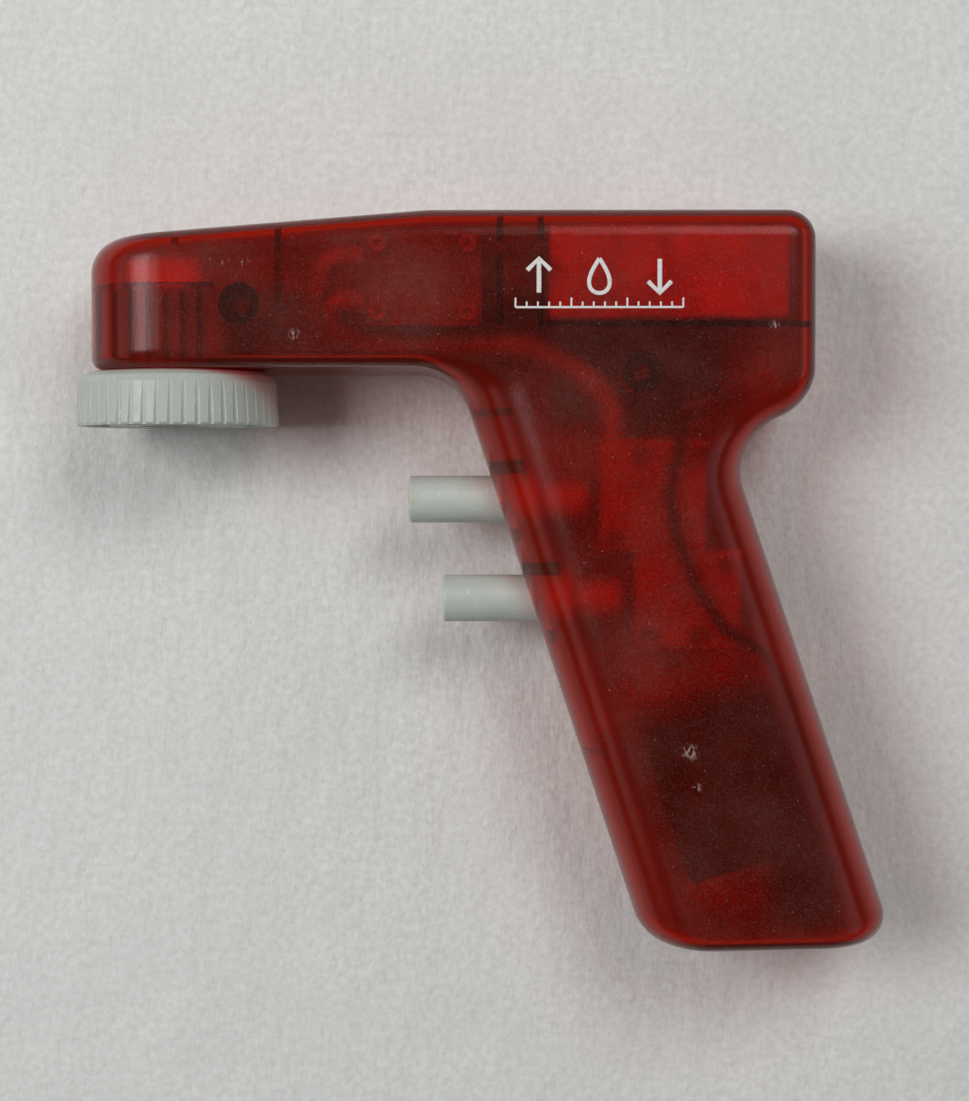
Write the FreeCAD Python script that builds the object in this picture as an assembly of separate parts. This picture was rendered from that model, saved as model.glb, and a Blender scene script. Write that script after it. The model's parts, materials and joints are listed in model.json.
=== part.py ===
"""Motorized pipette controller, a pistol-shaped hand tool that lies on its right side.

Every solid is drawn in a design frame, in millimetres:
  X  from the nosepiece axis towards the rear of the arm
  Y  from the flat underside of the arm upwards, away from the grip
  Z  across the tool, zero on the seam between the two shells, left side positive
The last lines move everything so that the origin is under the middle of the tool's box.
"""
import FreeCAD, Part
import math
import os

V = FreeCAD.Vector
X_AXIS = V(1, 0, 0)
Y_AXIS = V(0, 1, 0)
Z_AXIS = V(0, 0, 1)

# ---------------------------------------------------------------- driving dimensions
HALF = 19.0            # half of the tool's thickness
WALL = 2.0             # shell wall
GAP = 0.3              # clearance between parts that don't fit each other
RUN = 0.06             # radial clearance of a running fit

NOSE_FRONT = -15.1     # front of the arm
ARM_TOP = 28.4         # top of the arm behind the knee
ARM_REAR = 117.5       # rear end of the arm
GRIP_TILT = 18.6       # lean of the grip away from upright, degrees

RING_R = 18.9          # nosepiece ring
RING_LOW = -10.3
RING_HIGH = -0.2
RING_FLUTES = 48
SPIGOT_R = 10.0        # threaded collar under the nose
COLLAR_BORE = 7.4
PIPETTE_R = 3.6        # socket for the pipette's mouthpiece

BUTTON_R = 4.4
BUTTON_TRAVEL = 7.0
BUTTON_TIPS = {"aspirate": (43.35, -24.0), "dispense": (49.7, -42.6)}
SWITCH_RISE = 0.7      # how far a switch pin sinks over the button's travel
NEEDLE_R = 1.5
VALVE_LENGTH = 19.2    # valve block along a needle
VALVE_TOP = 8.0        # top of the valve block, under its cover
COVER_TOP = 10.0
VALVE_SCREWS = [(86.0, -15.6), (95.8, -15.6), (80.9, -31.2), (101.8, -36.0), (87.3, -48.8), (96.6, -48.8)]

SCREW_PLACES = [(13.5, 11.3), (86.0, -0.9)]
BOSS_R = 3.8
SHANK_R = 1.5

MOTOR_Y = 16.0         # shaft axis, along X at Z = 0
SHAFT_R = 1.0
CRANK_THROW = 1.0
PUMP_X = (36.0, 57.0)  # pump block, along and across the arm
PUMP_Y = (7.5, 24.5)
PUMP_LEVELS = (-9.0, 9.3, 10.5, 12.3, 15.2)  # frame, diaphragm, valve plate, head and its top
PUMP_CENTRE_X = 47.5   # middle of the diaphragm
PUMP_PORTS_Y = (20.0, 12.0)  # suction and pressure spigots of the head
PUMP_PORTS_Z = 13.7
PUMP_SCREWS = [(38.4, 9.9), (54.6, 9.9), (38.4, 22.1), (54.6, 22.1)]
CAN_X = (68.8, 93.0)   # motor can
CAN_R = 10.2
CAN_FLAT = 7.6

HOSE_R = 2.1
HOSE_BORE = 1.2
SPIGOT_HOSE_R = 1.15   # spigots that the hoses are pushed onto
HOSE_PORT_X = 81.5     # the three spigots of the valve block
HOSE_LANES = {"pressure": 5.5, "suction": 0.5, "nose": -4.5}  # heights of the hoses, side by side

BATTERY_CENTRE = (102.1, -76.2)
CELL_R = 6.0
CELL_LENGTH = 28.0
JACK_X = 117.2         # charging jack, its bore along Y
JACK_BORE = 1.8
JACK_DEPTH = 10.0

# Corner name, x, y and plan radius; a radius of 0 is rounded later, across the edge.
OUTLINE = [
    ("nose_bottom", NOSE_FRONT, 0, 0),
    ("nose_top", NOSE_FRONT, 23.4, 0),
    ("knee", 47.3, ARM_TOP, 40),
    ("rear_top", ARM_REAR, ARM_TOP, 5.4),
    ("rear_low", ARM_REAR, -6.3, 9.7),
    ("neck", 102.3, -12.9, 10.4),
    ("grip_rear_foot", 133.4, -105.6, 0),
    ("grip_front_foot", 87.3, -106.6, 0),
    ("crotch", 52.2, 0, 10.8),
]

# Rounding of the side edges around the outline: from corner, to corner, radius.
SIDE_ROUNDING = [
    (("nose_bottom", "nose_top"), 14.5, 14.5),
    (("nose_top", "knee"), 5, 5),
    (("knee", "knee"), 5, 5),
    (("knee", "rear_top"), 5, 5),
    (("rear_top", "rear_top"), 5, 5),
    (("rear_top", "rear_low"), 5, 5),
    (("rear_low", "rear_low"), 5, 8.5),
    (("rear_low", "neck"), 8.5, 8.5),
    (("neck", "neck"), 8.5, 13),
    (("neck", "grip_rear_foot"), 13, 13),
    (("grip_rear_foot", "grip_front_foot"), 4, 4),
    (("grip_front_foot", "crotch"), 13, 13),
    (("crotch", "crotch"), 13, 3),
    (("crotch", "nose_bottom"), 3, 3),
]

# Rounding of the upright edges at the sharp corners.
CORNER_ROUNDING = {"nose_top": 6.5, "nose_bottom": 2.0, "grip_rear_foot": 4.8, "grip_front_foot": 8.4}
LEAST_RADIUS = 0.6


# ---------------------------------------------------------------- plain shapes
def box(x, y, z):
    """A box from three (low, high) pairs."""
    return Part.makeBox(x[1] - x[0], y[1] - y[0], z[1] - z[0], V(x[0], y[0], z[0]))


def cylinder(radius, start, length, axis):
    return Part.makeCylinder(radius, length, V(*start), axis)


def ring(outer, inner, start, length, axis):
    hole = cylinder(inner, start, length, axis)
    return cylinder(outer, start, length, axis).cut(hole)


def rounded_plate(x, y, z, radius):
    """A box whose four upright edges are rounded."""
    plate = box(x, y, z)
    upright = [e for e in plate.Edges if abs(e.tangentAt(e.FirstParameter).z) > 0.99]
    return plate.makeFillet(radius, upright)


def turned(profile):
    """A solid turned about the nosepiece axis from (radius, height) points."""
    points = [V(r, y, 0) for r, y in profile]
    points.append(points[0])
    return Part.Face(Part.makePolygon(points)).revolve(V(0, 0, 0), Y_AXIS, 360)


def in_grip(shape, centre):
    """Turns a shape drawn around the origin into line with the grip."""
    placed = shape.copy()
    placed.rotate(V(0, 0, 0), Z_AXIS, GRIP_TILT)
    placed.translate(V(centre[0], centre[1], 0))
    return placed


def fuse_all(shapes):
    return shapes[0].fuse(shapes[1:]).removeSplitter()


def bend_path(points, radius):
    """Straight runs joined by tangent arcs, each as large as the runs allow up to a radius."""
    corners = [V(*p) for p in points]
    edges = []
    start = corners[0]
    for before, corner, after in zip(corners, corners[1:], corners[2:]):
        back = (before - corner).normalize()
        ahead = (after - corner).normalize()
        half = back.getAngle(ahead) / 2
        room = 0.45 * min((before - corner).Length, (after - corner).Length)
        reach = min(room, radius / math.tan(half))
        middle = (back + ahead).normalize() * (reach / math.cos(half) - reach * math.tan(half))
        edges.append(Part.LineSegment(start, corner + back * reach).toShape())
        edges.append(Part.Arc(corner + back * reach, corner + middle, corner + ahead * reach).toShape())
        start = corner + ahead * reach
    edges.append(Part.LineSegment(start, corners[-1]).toShape())
    return Part.Wire(edges)


def swept(points, section_radius, bend_radius):
    """A round bar along a bent path."""
    path = bend_path(points, bend_radius)
    direction = V(*points[1]) - V(*points[0])
    circle = Part.Wire(Part.Circle(V(*points[0]), direction, section_radius).toShape())
    return path.makePipeShell([circle], True, False)


def hose(points):
    return swept(points, HOSE_R, 6.0).cut(swept(points, HOSE_BORE, 6.0))


# ---------------------------------------------------------------- housing outline
def inset_outline(inset):
    """The outline moved inwards, as (name, point, plan radius)."""
    moved = []
    for index, (name, x, y, radius) in enumerate(OUTLINE):
        before = OUTLINE[index - 1]
        after = OUTLINE[(index + 1) % len(OUTLINE)]
        arriving = V(x - before[1], y - before[2], 0).normalize()
        leaving = V(after[1] - x, after[2] - y, 0).normalize()
        inward = V(arriving.y + leaving.y, -arriving.x - leaving.x, 0)
        scale = inset / (1 + arriving.dot(leaving))
        turns_out = arriving.cross(leaving).z < 0
        if radius:
            radius += -inset if turns_out else inset
        moved.append((name, V(x, y, 0) + inward * scale, radius))
    return moved


def outline_edges(inset):
    """The outline's edges, each under the names of the corners it joins."""
    corners = inset_outline(inset)
    arcs = []
    for index, (name, point, radius) in enumerate(corners):
        before = corners[index - 1][1]
        after = corners[(index + 1) % len(corners)][1]
        back = (before - point).normalize()
        ahead = (after - point).normalize()
        half = back.getAngle(ahead) / 2
        reach = radius / math.tan(half)
        middle = (back + ahead).normalize() * (radius / math.sin(half) - radius)
        arcs.append((name, point + back * reach, point + middle, point + ahead * reach, radius))
    edges = {}
    for index, (name, start, middle, end, radius) in enumerate(arcs):
        following = arcs[(index + 1) % len(arcs)]
        if radius:
            edges[(name, name)] = Part.Arc(start, middle, end).toShape()
        edges[(name, following[0])] = Part.LineSegment(end, following[1]).toShape()
    return edges


def middle_of(edge):
    return edge.valueAt((edge.FirstParameter + edge.LastParameter) / 2)


def edge_number(shape, point):
    """The number of the edge whose middle is at a point."""
    distances = [(middle_of(edge) - point).Length for edge in shape.Edges]
    return distances.index(min(distances)) + 1


def half_body(inset):
    """The left half of the housing's outer form, or of its hollow when it is inset."""
    height = HALF - inset
    edges = outline_edges(inset)
    prism = Part.Face(Part.Wire(list(edges.values()))).extrude(Z_AXIS * height)
    rounding = []
    for corners, first, last in SIDE_ROUNDING:
        number = edge_number(prism, middle_of(edges[corners]) + Z_AXIS * height)
        rounding.append((number, max(first - inset, LEAST_RADIUS), max(last - inset, LEAST_RADIUS)))
    for name, point, _ in inset_outline(inset):
        if name in CORNER_ROUNDING:
            number = edge_number(prism, point + Z_AXIS * (height / 2))
            radius = max(CORNER_ROUNDING[name] - inset, LEAST_RADIUS)
            rounding.append((number, radius, radius))
    document = FreeCAD.newDocument("rounding")
    source = document.addObject("Part::Feature", "prism")
    source.Shape = prism
    rounded = document.addObject("Part::Fillet", "rounded")
    rounded.Base = source
    rounded.Edges = rounding
    document.recompute()
    result = rounded.Shape.copy()
    FreeCAD.closeDocument(document.Name)
    return Part.Solid(result.Shells[0])


OUTER_HALF = half_body(0)
HOLLOW_HALF = half_body(WALL)
LEFT_ROOM = half_body(WALL + GAP)
ROOM = LEFT_ROOM.fuse(LEFT_ROOM.mirror(V(0, 0, 0), Z_AXIS))


def inside(shape):
    """Trims a part so that it stays clear of the shells."""
    return shape.common(ROOM)


# ---------------------------------------------------------------- shells
def nose_saddle():
    """Upright ribs that cradle the collar, and the web across their top."""
    ribs = [box((x, x + 1.0), (WALL, 14.2), (0, HALF)) for x in (-12.2, -9.2, -6.2, -3.2, -0.2, 2.8, 5.8)]
    ribs.append(box((-14.5, 9), (14.2, 15.2), (5.5, HALF)))
    return fuse_all(ribs).cut(cylinder(9.5, (0, 0, 0), 20, Y_AXIS))


def arm_ribs():
    """Cross ribs in the arm and the walls of the motor compartment."""
    shaft = (0, MOTOR_Y, 0)
    ribs = [
        box((-10.1, -8.9), (21.0, ARM_TOP), (9, HALF)),
        box((1.3, 2.5), (21.6, ARM_TOP), (9, HALF)),
        box((19.9, 21.1), (10, ARM_TOP), (6, HALF)),
        box((59.8, 61.0), (7.4, ARM_TOP), (2, HALF)),
        box((67.1, 68.3), (7.0, ARM_TOP), (2, HALF)),
        box((68.3, ARM_REAR), (7.0, 8.2), (1.6, HALF)),
    ]
    neck_room = cylinder(8.0, shaft, 80, X_AXIS)
    return fuse_all(ribs).cut(neck_room)


def front_wall_ribs():
    """Short plates behind the front wall of the grip, which guide the buttons and stop the battery."""
    slope = math.tan(math.radians(GRIP_TILT))
    plates = []
    for x, y in BUTTON_TIPS.values():
        for side in (-1, 1):
            middle = y + side * 6.2
            start = x + 15
            plates.append(box((start, x + 21.8), (middle - 1.2, middle + 1.2), (0, HALF)))
    for middle, depth in ((-8.0, 8.0), (-70.0, 5.0)):
        wall_x = 52.2 - middle * slope
        plates.append(box((wall_x, wall_x + depth), (middle - 0.7, middle + 0.7), (3, HALF)))
    return plates


def seam_groove():
    """The fine step that runs around the seam."""
    seam = [face for face in OUTER_HALF.Faces if abs(face.BoundBox.ZMax) < 0.01][0]
    inner = seam.makeOffset2D(-0.3)
    return seam.cut(inner).extrude(Z_AXIS * 0.2)


def ribbed_half(more_ribs=()):
    """The walls of the left half with their ribs and screw bosses."""
    ribs = [nose_saddle(), arm_ribs(), *front_wall_ribs(), *more_ribs]
    ribs += [cylinder(BOSS_R, (x, y, 0), HALF, Z_AXIS) for x, y in SCREW_PLACES]
    kept = [rib.common(OUTER_HALF) for rib in ribs]
    return OUTER_HALF.cut(HOLLOW_HALF).fuse(kept).removeSplitter()


def left_shell():
    pilots = [cylinder(SHANK_R + 0.02, (x, y, -1), 13, Z_AXIS) for x, y in SCREW_PLACES]
    return ribbed_half().cut(pilots + shell_openings() + [seam_groove()])


def right_shell():
    board_posts = [cylinder(1.8, (x, y, 11.7), HALF - 11.7, Z_AXIS) for x, y in ((74, -6.5), (99.5, 2.5))]
    holes = [cylinder(1.7, (x, y, -HALF - 1), HALF + 2, Z_AXIS) for x, y in SCREW_PLACES]
    holes += [cylinder(3.1, (x, y, -HALF - 1), 10, Z_AXIS) for x, y in SCREW_PLACES]
    return ribbed_half(board_posts).mirror(V(0, 0, 0), Z_AXIS).cut(holes + shell_openings())


def shell_openings():
    """Holes that both shells share half and half."""
    cuts = [cylinder(8.8, (0, -1, 0), 4, Y_AXIS)]
    for x, y in BUTTON_TIPS.values():
        cuts.append(cylinder(BUTTON_R + 0.2, (x + 5, y, 0), 25, X_AXIS))
    cuts.append(cylinder(4.1, (JACK_X, -110, 0), 8, Y_AXIS))
    return cuts


def housing_screws():
    screws = []
    for x, y in SCREW_PLACES:
        head = cylinder(2.8, (x, y, -13.0), 3.0, Z_AXIS)
        shank = cylinder(SHANK_R, (x, y, -10.0), 18.0, Z_AXIS)
        slot = box((x - 2.0, x + 2.0), (y - 0.4, y + 0.4), (-13.0, -12.0))
        cross = box((x - 0.4, x + 0.4), (y - 2.0, y + 2.0), (-13.0, -12.0))
        screws.append(head.fuse(shank).cut([slot, cross]))
    return Part.makeCompound(screws)


# ---------------------------------------------------------------- nosepiece
def nosepiece_ring():
    body = turned([
        (7.3, RING_LOW), (12.6, RING_LOW), (13.2, RING_LOW + 0.6), (13.2, -3.4),
        (16.4, -3.4), (16.8, RING_LOW + 0.4), (17.2, RING_LOW), (18.6, RING_LOW),
        (RING_R, RING_LOW + 0.4), (18.5, -2.4), (18.0, -1.2), (17.0, -0.5),
        (15.8, RING_HIGH), (SPIGOT_R + 0.1, RING_HIGH), (SPIGOT_R + 0.1, -8.4), (7.3, -8.4),
    ])
    flute = cylinder(0.55, (RING_R + 0.1, RING_LOW - 1, 0), 9.0, Y_AXIS)
    flutes = []
    for number in range(RING_FLUTES):
        groove = flute.copy()
        groove.rotate(V(0, 0, 0), Y_AXIS, 360.0 * (number + 0.5) / RING_FLUTES)
        flutes.append(groove)
    return body.cut(flutes)


def pipette_holder():
    return turned([
        (6.2, -9.9), (7.2, -9.9), (7.2, -8.3), (9.6, -8.3), (9.6, -7.0), (7.1, -7.0),
        (7.1, 4.0), (2.0, 4.0), (2.0, 2.5), (PIPETTE_R, 2.5), (PIPETTE_R, -6.5),
    ])


def membrane_filter():
    return turned([
        (1.0, 4.2), (7.0, 4.2), (7.0, 5.4), (5.9, 5.4), (5.9, 7.2), (7.0, 7.2),
        (7.0, 8.6), (2.6, 9.4), (2.0, 9.8), (2.0, 13.4), (1.0, 13.4),
    ])


def filter_o_ring():
    return Part.makeTorus(6.6, 0.65, V(0, 6.3, 0), Y_AXIS)


def nose_collar():
    return turned([
        (COLLAR_BORE, -6.8), (9.6, -6.8), (SPIGOT_R, -6.4), (SPIGOT_R, -0.3), (8.7, -0.3), (8.7, 2.2),
        (9.3, 2.2), (9.3, 14.0), (2.1, 14.0), (2.1, 12.4), (COLLAR_BORE, 12.4),
    ])


def tube_elbow():
    foot = cylinder(4.6, (0, 14.0, 0), 1.4, Y_AXIS)
    block = rounded_plate((-8.6, 4.6), (15.4, 20.6), (-4, 4), 1.2)
    spigot = cylinder(SPIGOT_HOSE_R, (4.6, 18.0, 0), 5.0, X_AXIS)
    riser = cylinder(0.8, (0, 14.0, 0), 4.0, Y_AXIS)
    outlet = cylinder(0.7, (0, 18.0, 0), 9.6, X_AXIS)
    return fuse_all([foot, block, spigot]).cut([riser, outlet])


# ---------------------------------------------------------------- buttons and valves
def button(name):
    """A long push button with a stop flange and a ramp that works the switch pin."""
    x, y = BUTTON_TIPS[name]
    shank = cylinder(BUTTON_R, (x, y, 0), 24.0, X_AXIS)
    tip = [e for e in shank.Edges if abs(middle_of(e).x - x) < 0.01]
    shank = shank.makeFillet(0.6, tip)
    flange = cylinder(5.8, (x + 22.4, y, 0), 1.6, X_AXIS)
    flange = flange.cut(box((x + 22, x + 25), (y - 6, y + 6), (-7, -BUTTON_R)))
    tail = cylinder(3.6, (x + 24.0, y, 0), 9.4, X_AXIS)
    slope = SWITCH_RISE / BUTTON_TRAVEL
    low = -3.6
    high = low + 9.4 * slope
    ends = ((x + 24, low), (x + 33.4, high), (x + 33.4, -5), (x + 24, -5), (x + 24, low))
    ramp_cut = Part.Face(Part.makePolygon([V(at, y - 4, z) for at, z in ends])).extrude(Y_AXIS * 8)
    socket = cylinder(NEEDLE_R, (x + 28.4, y, 0), 5.0, X_AXIS)
    return fuse_all([shank, flange, tail.cut(ramp_cut)]).cut(socket)


def needle(name):
    """The valve needle, pressed into the button's tail, with a tapered tip."""
    x, y = BUTTON_TIPS[name]
    stem = cylinder(NEEDLE_R, (x + 28.4, y, 0), 15.6, X_AXIS)
    taper = Part.makeCone(NEEDLE_R, 0.9, 2.6, V(x + 44.0, y, 0), X_AXIS)
    return stem.fuse(taper).removeSplitter()


def return_spring(name):
    """The room that the return spring's coils take around the needle."""
    x, y = BUTTON_TIPS[name]
    return ring(3.2, 2.1, (x + 33.6, y, 0), 10.2, X_AXIS)


def gland(name):
    x, y = BUTTON_TIPS[name]
    return ring(2.9, NEEDLE_R + RUN, (x + 44.0, y, 0), 1.6, X_AXIS)


def valve_steps(low, high):
    """The stepped outline of the valve block between two heights."""
    steps = []
    for name, y in (("aspirate", (-33.3, -13.0)), ("dispense", (-51.0, -33.3))):
        start = BUTTON_TIPS[name][0] + 35.4
        steps.append(box((start, start + VALVE_LENGTH), y, (low, high)))
    return steps


def valve_block():
    """A stepped block with one spring pocket and one needle bore per button, and three hose spigots."""
    spigots = [cylinder(SPIGOT_HOSE_R, (HOSE_PORT_X, -13.0, z), 4.6, Y_AXIS) for z in HOSE_LANES.values()]
    cuts = [cylinder(0.6, (HOSE_PORT_X, -16.0, z), 8.0, Y_AXIS) for z in HOSE_LANES.values()]
    for x, y in BUTTON_TIPS.values():
        cuts.append(cylinder(4.2, (x + 35.0, y, 0), 9.0, X_AXIS))
        cuts.append(cylinder(2.9, (x + 44.0, y, 0), 1.6, X_AXIS))
        cuts.append(cylinder(NEEDLE_R + RUN, (x + 45.0, y, 0), 9.0, X_AXIS))
    cuts += [cylinder(0.8, (x, y, 3.0), 5.0, Z_AXIS) for x, y in VALVE_SCREWS]
    return inside(fuse_all(valve_steps(-VALVE_TOP, VALVE_TOP) + spigots).cut(cuts))


def valve_cover():
    holes = [cylinder(1.0, (x, y, VALVE_TOP - 1), 4.0, Z_AXIS) for x, y in VALVE_SCREWS]
    return inside(fuse_all(valve_steps(VALVE_TOP, COVER_TOP)).cut(holes))


def screw_set(places, seat, length):
    """Small screws with a hexagon socket whose heads stand on a face at height seat."""
    screws = []
    for x, y in places:
        head = cylinder(1.6, (x, y, seat), 1.2, Z_AXIS)
        shank = cylinder(0.8, (x, y, seat - length), length, Z_AXIS)
        turns = [math.radians(angle) for angle in range(0, 361, 60)]
        key = [V(x + 0.8 * math.cos(turn), y + 0.8 * math.sin(turn), seat + 1.2) for turn in turns]
        socket = Part.Face(Part.makePolygon(key)).extrude(V(0, 0, -0.84))
        screws.append(head.fuse(shank).cut(socket))
    return Part.makeCompound(screws)


def micro_switch(name):
    """A small switch below the button's tail, with a well for its pin."""
    x, y = BUTTON_TIPS[name]
    case = rounded_plate((x + 26.0, x + 35.2), (y - 2.9, y + 2.9), (-11.4, -5.0), 0.5)
    well = cylinder(0.8 + RUN, (x + 32.2, y, -9.0), 5.0, Z_AXIS)
    legs = [box((x + at, x + at + 0.5), (y - 0.4, y + 0.4), (-13.4, -11.4)) for at in (27.2, 30.3, 33.4)]
    return fuse_all([case] + legs).cut(well)


def switch_pin(name):
    """The pin that rides on the button's ramp."""
    x, y = BUTTON_TIPS[name]
    ramp_height = -3.6 + 8.2 * SWITCH_RISE / BUTTON_TRAVEL
    top = ramp_height - 0.12
    pin = cylinder(0.8, (x + 32.2, y, -8.2), top + 8.2, Z_AXIS)
    rim = [e for e in pin.Edges if abs(middle_of(e).z - top) < 0.01]
    return pin.makeFillet(0.3, rim)


# ---------------------------------------------------------------- pump and motor
def pump_plate(level):
    """The pump's outline from one level of its stack to the next."""
    return rounded_plate(PUMP_X, PUMP_Y, PUMP_LEVELS[level:level + 2], 1.6)


def pump_holes(radius, low, length):
    return [cylinder(radius, (x, y, low), length, Z_AXIS) for x, y in PUMP_SCREWS]


def pump_frame():
    """The block with the crank chamber, and the neck that reaches back to the motor."""
    neck = cylinder(7.0, (PUMP_X[1], MOTOR_Y, 0), 11.6, X_AXIS)
    chamber = cylinder(7.6, (39.0, MOTOR_Y, 0), 14.0, X_AXIS)
    well = cylinder(6.6, (PUMP_CENTRE_X, MOTOR_Y, 0), 10.0, Z_AXIS)
    shaft_room = cylinder(2.0, (50.0, MOTOR_Y, 0), 20.0, X_AXIS)
    bush_seat = cylinder(3.0, (64.6, MOTOR_Y, 0), 5.0, X_AXIS)
    hollows = [chamber, well, shaft_room, bush_seat] + pump_holes(0.8, 3.0, 7.0)
    return fuse_all([pump_plate(0), neck]).cut(hollows)


def pump_diaphragm():
    bead = cylinder(4.0, (PUMP_CENTRE_X, MOTOR_Y, 10.0), 0.9, Z_AXIS)
    return pump_plate(1).fuse(bead).removeSplitter().cut(pump_holes(1.0, 9.0, 2.0))


def pump_valve_plate():
    dome = cylinder(6.4, (PUMP_CENTRE_X, MOTOR_Y, 10.4), 0.9, Z_AXIS)
    ports = [cylinder(0.9, (45.0, MOTOR_Y + side * 3.0, 10.0), 3.0, Z_AXIS) for side in (-1, 1)]
    return pump_plate(2).cut([dome] + pump_holes(1.0, 10.0, 3.0) + ports)


def pump_head():
    spigots = [cylinder(SPIGOT_HOSE_R, (33.4, y, PUMP_PORTS_Z), 3.0, X_AXIS) for y in PUMP_PORTS_Y]
    bores = [cylinder(0.7, (33.0, y, PUMP_PORTS_Z), 10.0, X_AXIS) for y in PUMP_PORTS_Y]
    return fuse_all([pump_plate(3)] + spigots).cut(bores + pump_holes(1.0, 12.0, 4.0))


def connecting_rod():
    centre = (45.4, MOTOR_Y, CRANK_THROW)
    big_end = cylinder(6.0, centre, 4.2, X_AXIS)
    shank = box((46.0, 49.0), (MOTOR_Y - 1.6, MOTOR_Y + 1.6), (5.0, 8.2))
    foot = cylinder(4.2, (PUMP_CENTRE_X, MOTOR_Y, 8.0), 0.9, Z_AXIS)
    return fuse_all([big_end, shank, foot]).cut(cylinder(4.5, centre, 4.2, X_AXIS))


def rod_bearing():
    return ring(4.5, 3.0 + RUN, (45.4, MOTOR_Y, CRANK_THROW), 4.2, X_AXIS)


def eccentric():
    disc = cylinder(3.0, (45.0, MOTOR_Y, CRANK_THROW), 5.2, X_AXIS)
    weight = cylinder(5.6, (50.4, MOTOR_Y, 0), 1.6, X_AXIS)
    weight = weight.cut(box((50, 53), (MOTOR_Y - 6, MOTOR_Y + 6), (1.6, 6)))
    hub = cylinder(1.9, (50.2, MOTOR_Y, 0), 1.8, X_AXIS)
    return fuse_all([disc, hub, weight]).cut(cylinder(SHAFT_R, (44.0, MOTOR_Y, 0), 9.0, X_AXIS))


def flatted(radius, start, length):
    """A cylinder along the shaft with the motor's two flats."""
    low = MOTOR_Y - CAN_FLAT - (radius - CAN_R)
    high = MOTOR_Y + CAN_FLAT + (radius - CAN_R)
    flats = box((start - 1, start + length + 1), (low, high), (-radius - 1, radius + 1))
    return cylinder(radius, (start, MOTOR_Y, 0), length, X_AXIS).common(flats)


def motor_can():
    length = CAN_X[1] - CAN_X[0]
    shell = flatted(CAN_R, CAN_X[0], length).cut(flatted(CAN_R - 0.8, CAN_X[0] + 0.8, length))
    return shell.cut(cylinder(3.0, (CAN_X[0] - 1, MOTOR_Y, 0), 3.0, X_AXIS))


def motor_magnets():
    tube = ring(CAN_R - 0.9, 7.2, (CAN_X[0] + 3.0, MOTOR_Y, 0), 17.0, X_AXIS)
    sides = [box((70, 92), (MOTOR_Y - 4.4, MOTOR_Y + 4.4), z) for z in ((5.0, 11.0), (-11.0, -5.0))]
    return Part.makeCompound([tube.common(side) for side in sides])


def shaft_bush():
    return ring(3.0, SHAFT_R + RUN, (64.6, MOTOR_Y, 0), 5.0, X_AXIS)


def motor_shaft():
    return cylinder(SHAFT_R, (45.0, MOTOR_Y, 0), 49.6, X_AXIS)


def motor_armature():
    """A three-pole core with its commutator."""
    core = cylinder(6.6, (74.0, MOTOR_Y, 0), 12.0, X_AXIS)
    slots = []
    for number in range(3):
        slot = box((73.5, 86.5), (MOTOR_Y - 0.9, MOTOR_Y + 0.9), (3.0, 8.0))
        slot.rotate(V(0, MOTOR_Y, 0), X_AXIS, 120.0 * number + 60.0)
        slots.append(slot)
    commutator = cylinder(2.4, (86.0, MOTOR_Y, 0), 4.0, X_AXIS)
    return core.cut(slots).fuse(commutator).cut(cylinder(SHAFT_R, (73.0, MOTOR_Y, 0), 18.0, X_AXIS))


def motor_end_cap():
    cap = flatted(CAN_R - 0.8, CAN_X[1] - 1.0, 3.6)
    rim = flatted(CAN_R, CAN_X[1], 1.0)
    tabs = [box((CAN_X[1] + 2.4, CAN_X[1] + 5.0), (MOTOR_Y - 4.3, MOTOR_Y - 3.9), z)
            for z in ((3.0, 5.0), (-5.0, -3.0))]
    hollow = cylinder(6.8, (CAN_X[1] - 2.0, MOTOR_Y, 0), 2.6, X_AXIS)
    bearing = cylinder(SHAFT_R + RUN, (CAN_X[1] - 1.0, MOTOR_Y, 0), 2.6, X_AXIS)
    return fuse_all([cap, rim] + tabs).cut([hollow, bearing])


def motor_cushion():
    """The light foam that holds the motor and fills the rear compartment."""
    block = box((CAN_X[0] + 0.2, 113.0), (8.4, 25.8), (-14.5, 15.6))
    motor_room = flatted(CAN_R + 0.1, CAN_X[0] - 1.0, 28.0)
    lead_room = box((94.0, 101.0), (8.0, 19.0), (-6.0, 6.0))
    return inside(block.cut([motor_room, lead_room]))


# ---------------------------------------------------------------- hoses
def down_to_valve(lane):
    """The last run that all three hoses share, side by side under the pump and down to the valve block."""
    return [(66.0, 4.5, lane), (76.5, -1.0, lane), (HOSE_PORT_X, -6.5, lane), (HOSE_PORT_X, -12.9, lane)]


def nose_tube():
    lane = HOSE_LANES["nose"]
    start = [(4.7, 18.0, 0), (16.0, 18.0, 0), (25.0, 15.0, -2.5), (29.0, 6.0, lane), (42.0, 4.5, lane)]
    return hose(start + down_to_valve(lane))


def suction_tube():
    lane = HOSE_LANES["suction"]
    y = PUMP_PORTS_Y[0]
    start = [(35.9, y, PUMP_PORTS_Z), (29.5, y, PUMP_PORTS_Z), (26.6, 12.5, 8.0), (29.5, 5.0, lane)]
    return hose(start + [(42.0, 4.5, lane)] + down_to_valve(lane))


def pressure_tube():
    lane = HOSE_LANES["pressure"]
    y = PUMP_PORTS_Y[1]
    start = [(35.9, y, PUMP_PORTS_Z), (30.6, y, PUMP_PORTS_Z), (30.0, 7.6, 9.5), (35.5, 4.5, lane)]
    return hose(start + down_to_valve(lane))


# ---------------------------------------------------------------- electrics
def circuit_board():
    board = rounded_plate((70.0, 103.0), (-10.0, 6.2), (-11.6, -10.0), 1.0)
    x, y = SCREW_PLACES[1]
    return board.cut(cylinder(BOSS_R + 0.4, (x, y, -12.0), 3.0, Z_AXIS))


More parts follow.
